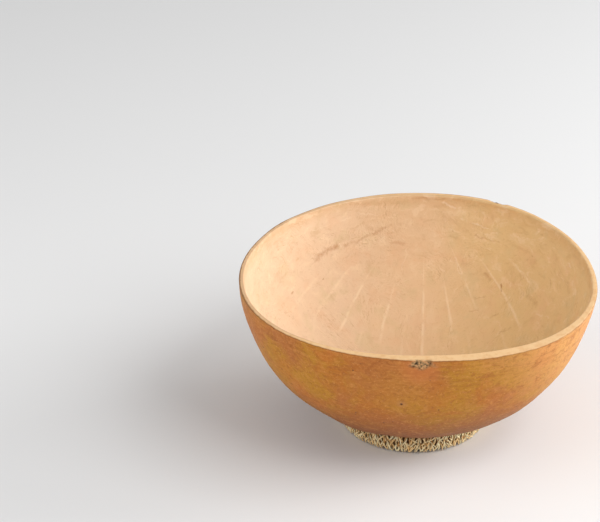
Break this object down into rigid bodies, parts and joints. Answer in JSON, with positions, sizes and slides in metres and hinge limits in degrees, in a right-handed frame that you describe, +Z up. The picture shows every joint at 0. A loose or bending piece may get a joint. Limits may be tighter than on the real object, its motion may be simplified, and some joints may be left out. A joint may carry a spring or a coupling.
{
  "type": "half gourd bowl on a straw ring",
  "caption": "Open round bowl sawn from a dried gourd, pale inside and orange-brown outside, standing on a low ring of wound straw.",
  "frame": {"origin": "centre of the bounding box on the surface that the straw ring stands on", "axes": "+Z up, the bowl's open side; -Y towards the blossom scar on the rim; the rim's plane is parallel to X and Y"},
  "size_m": [0.2488, 0.2486, 0.1164],
  "materials": {
    "gourd_shell": "dried gourd shell: satin orange-brown skin, matt pale inside and cut rim",
    "straw": "dry pale straw wound round a bundle, matt"
  },
  "bodies": {
    "root": {"gourd_bowl": "gourd_shell", "straw_ring": "straw"}
  },
  "joints": []
}
